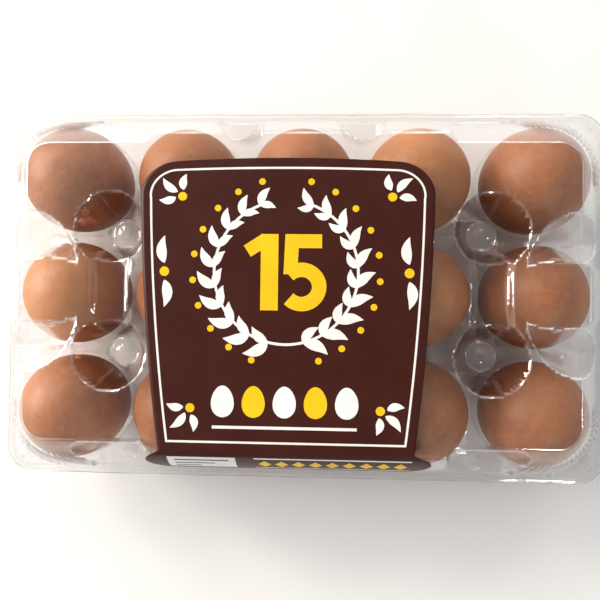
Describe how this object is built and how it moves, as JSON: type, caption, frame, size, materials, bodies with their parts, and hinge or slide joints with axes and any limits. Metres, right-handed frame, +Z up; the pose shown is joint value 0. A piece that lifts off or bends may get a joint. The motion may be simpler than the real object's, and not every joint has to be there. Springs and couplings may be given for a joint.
{
  "type": "egg carton",
  "caption": "Clear plastic egg carton with a hinged lid, filled with brown eggs and closed, with a dark printed label folded over the lid's front edge.",
  "frame": {"origin": "middle of the underside, on the surface the carton stands on", "axes": "+X along the long side, to the right as the label is read; +Y to the back, where the hinge is; +Z up"},
  "size_m": [0.254, 0.155, 0.0669],
  "materials": {
    "tray_plastic": "clear thermoformed sheet, glossy",
    "lid_plastic": "clear thermoformed sheet, glossy",
    "label_print": "coated printed paper, dark brown with pale and yellow shapes, low sheen",
    "egg_shell": "brown egg shell, satin, with fine pores and mottling"
  },
  "bodies": {
    "tray": {"tray": "tray_plastic", "egg_r1c1": "egg_shell", "egg_r1c2": "egg_shell", "egg_r1c3": "egg_shell", "egg_r1c4": "egg_shell", "egg_r1c5": "egg_shell", "egg_r2c1": "egg_shell", "egg_r2c2": "egg_shell", "egg_r2c3": "egg_shell", "egg_r2c4": "egg_shell", "egg_r2c5": "egg_shell", "egg_r3c1": "egg_shell", "egg_r3c2": "egg_shell", "egg_r3c3": "egg_shell", "egg_r3c4": "egg_shell", "egg_r3c5": "egg_shell"},
    "lid": {"lid": "lid_plastic", "label": "label_print"}
  },
  "joints": [
    {"name": "lid_hinge", "type": "hinge", "parent": "tray", "child": "lid", "pos_m": [0, 0.0778, 0.03215], "axis": [-1, 0, 0], "range_deg": [0, 170]}
  ]
}
